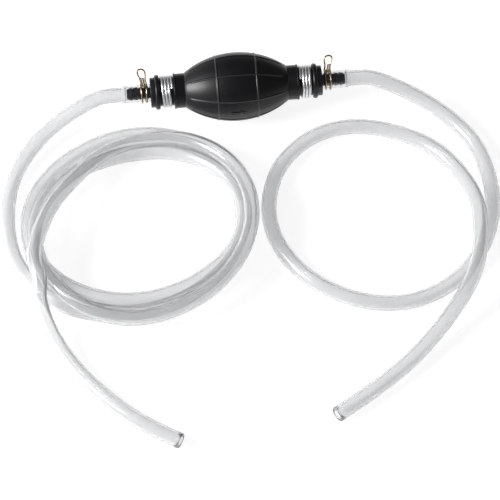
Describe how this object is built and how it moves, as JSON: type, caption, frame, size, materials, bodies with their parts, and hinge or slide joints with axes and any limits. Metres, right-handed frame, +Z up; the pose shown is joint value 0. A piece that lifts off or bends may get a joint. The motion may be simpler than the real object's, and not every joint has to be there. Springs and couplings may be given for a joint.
{
  "type": "siphon bulb pump",
  "caption": "Hand siphon pump: ribbed rubber squeeze bulb between two one-way valves, with a clear hose clipped to the barb at each end.",
  "frame": {"origin": "on the floor, under the middle of the bulb", "axes": "+X along the bulb from the inlet to the outlet (the flow), +Z up, +Y away from the hoses' loops"},
  "size_m": [0.3609, 0.3127, 0.05],
  "materials": {
    "bulb_rubber": "satin black moulded rubber",
    "fitting_plastic": "satin blue-black moulded plastic",
    "valve_plastic": "natural moulded acetal",
    "seal_rubber": "matt nitrile sheet",
    "spring_steel": "drawn stainless wire",
    "clamp_wire": "bright zinc-plated wire",
    "clip_wire": "yellow zinc-plated spring wire",
    "hose_vinyl": "clear soft vinyl, glossy"
  },
  "bodies": {
    "pump": {"inlet_fitting": "fitting_plastic", "inlet_valve_seat": "valve_plastic", "inlet_valve_cage": "valve_plastic", "inlet_valve_spring": "spring_steel", "inlet_wire_clamp": "clamp_wire", "inlet_hose_end": "hose_vinyl", "outlet_fitting": "fitting_plastic", "outlet_valve_seat": "valve_plastic", "outlet_valve_cage": "valve_plastic", "outlet_valve_spring": "spring_steel", "outlet_wire_clamp": "clamp_wire", "outlet_hose_end": "hose_vinyl", "bulb": "bulb_rubber", "inlet_hose_lead": "hose_vinyl", "inlet_hose_coil": "hose_vinyl", "inlet_hose_tail": "hose_vinyl", "outlet_hose": "hose_vinyl"},
    "inlet_poppet": {"inlet_poppet": "valve_plastic", "inlet_poppet_seal": "seal_rubber"},
    "outlet_poppet": {"outlet_poppet": "valve_plastic", "outlet_poppet_seal": "seal_rubber"},
    "inlet_clip": {"inlet_hose_clip": "clip_wire"},
    "outlet_clip": {"outlet_hose_clip": "clip_wire"}
  },
  "joints": [
    {"name": "inlet_valve_lift", "type": "slide", "parent": "pump", "child": "inlet_poppet", "axis": [1, 0, 0], "range_m": [0, 0.0016], "stiffness_N_per_m": 575, "springref_m": -0.0005, "deforming": ["inlet_valve_spring"]},
    {"name": "outlet_valve_lift", "type": "slide", "parent": "pump", "child": "outlet_poppet", "axis": [1, 0, 0], "range_m": [0, 0.0016], "stiffness_N_per_m": 575, "springref_m": -0.0005, "deforming": ["outlet_valve_spring"]},
    {"name": "inlet_clip_slide", "type": "slide", "parent": "pump", "child": "inlet_clip", "axis": [-1, 0, 0], "range_m": [0, 0.012]},
    {"name": "outlet_clip_slide", "type": "slide", "parent": "pump", "child": "outlet_clip", "axis": [1, 0, 0], "range_m": [0, 0.012]}
  ]
}
